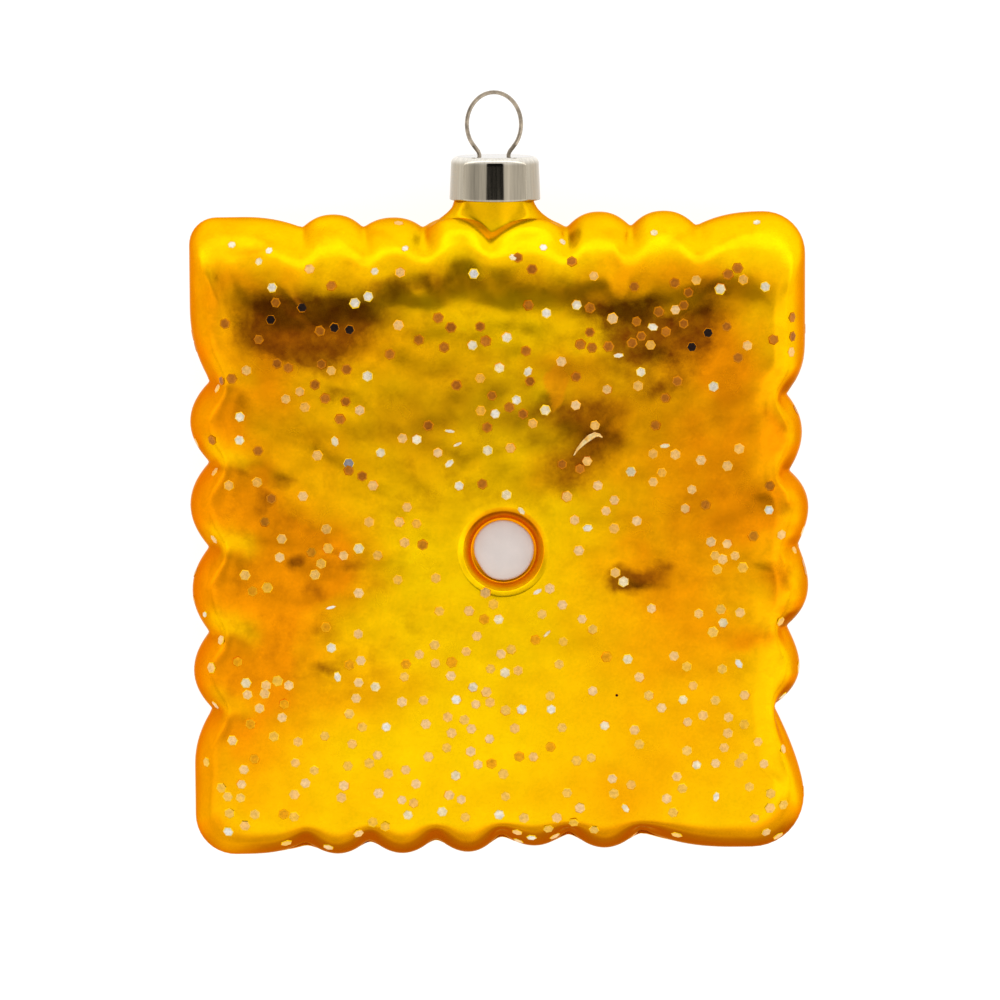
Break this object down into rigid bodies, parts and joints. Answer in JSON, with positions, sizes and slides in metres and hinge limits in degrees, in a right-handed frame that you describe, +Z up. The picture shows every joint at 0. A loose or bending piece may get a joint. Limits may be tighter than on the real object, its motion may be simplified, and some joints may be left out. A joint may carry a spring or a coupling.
{
  "type": "cracker-shaped glass ornament",
  "caption": "Hanging glass ornament shaped as a square cheese cracker, with fluted edges, a dimple with a white dot in each face, a metal cap on a short neck and a wire ring.",
  "frame": {"origin": "middle of the footprint, on the surface that the ornament lies on", "axes": "+Z up, the way the shown face looks; +Y towards the cap and the ring; +X to the right of the shown face"},
  "size_m": [0.0816, 0.101, 0.0198],
  "materials": {
    "lacquer": "silvered glass under satin yellow lacquer, with scattered glitter flakes",
    "enamel": "white enamel paint",
    "nickel": "polished nickel"
  },
  "bodies": {
    "root": {"glass_body": "lacquer", "dot_front": "enamel", "dot_back": "enamel", "cap": "nickel", "ring": "nickel"}
  },
  "joints": []
}
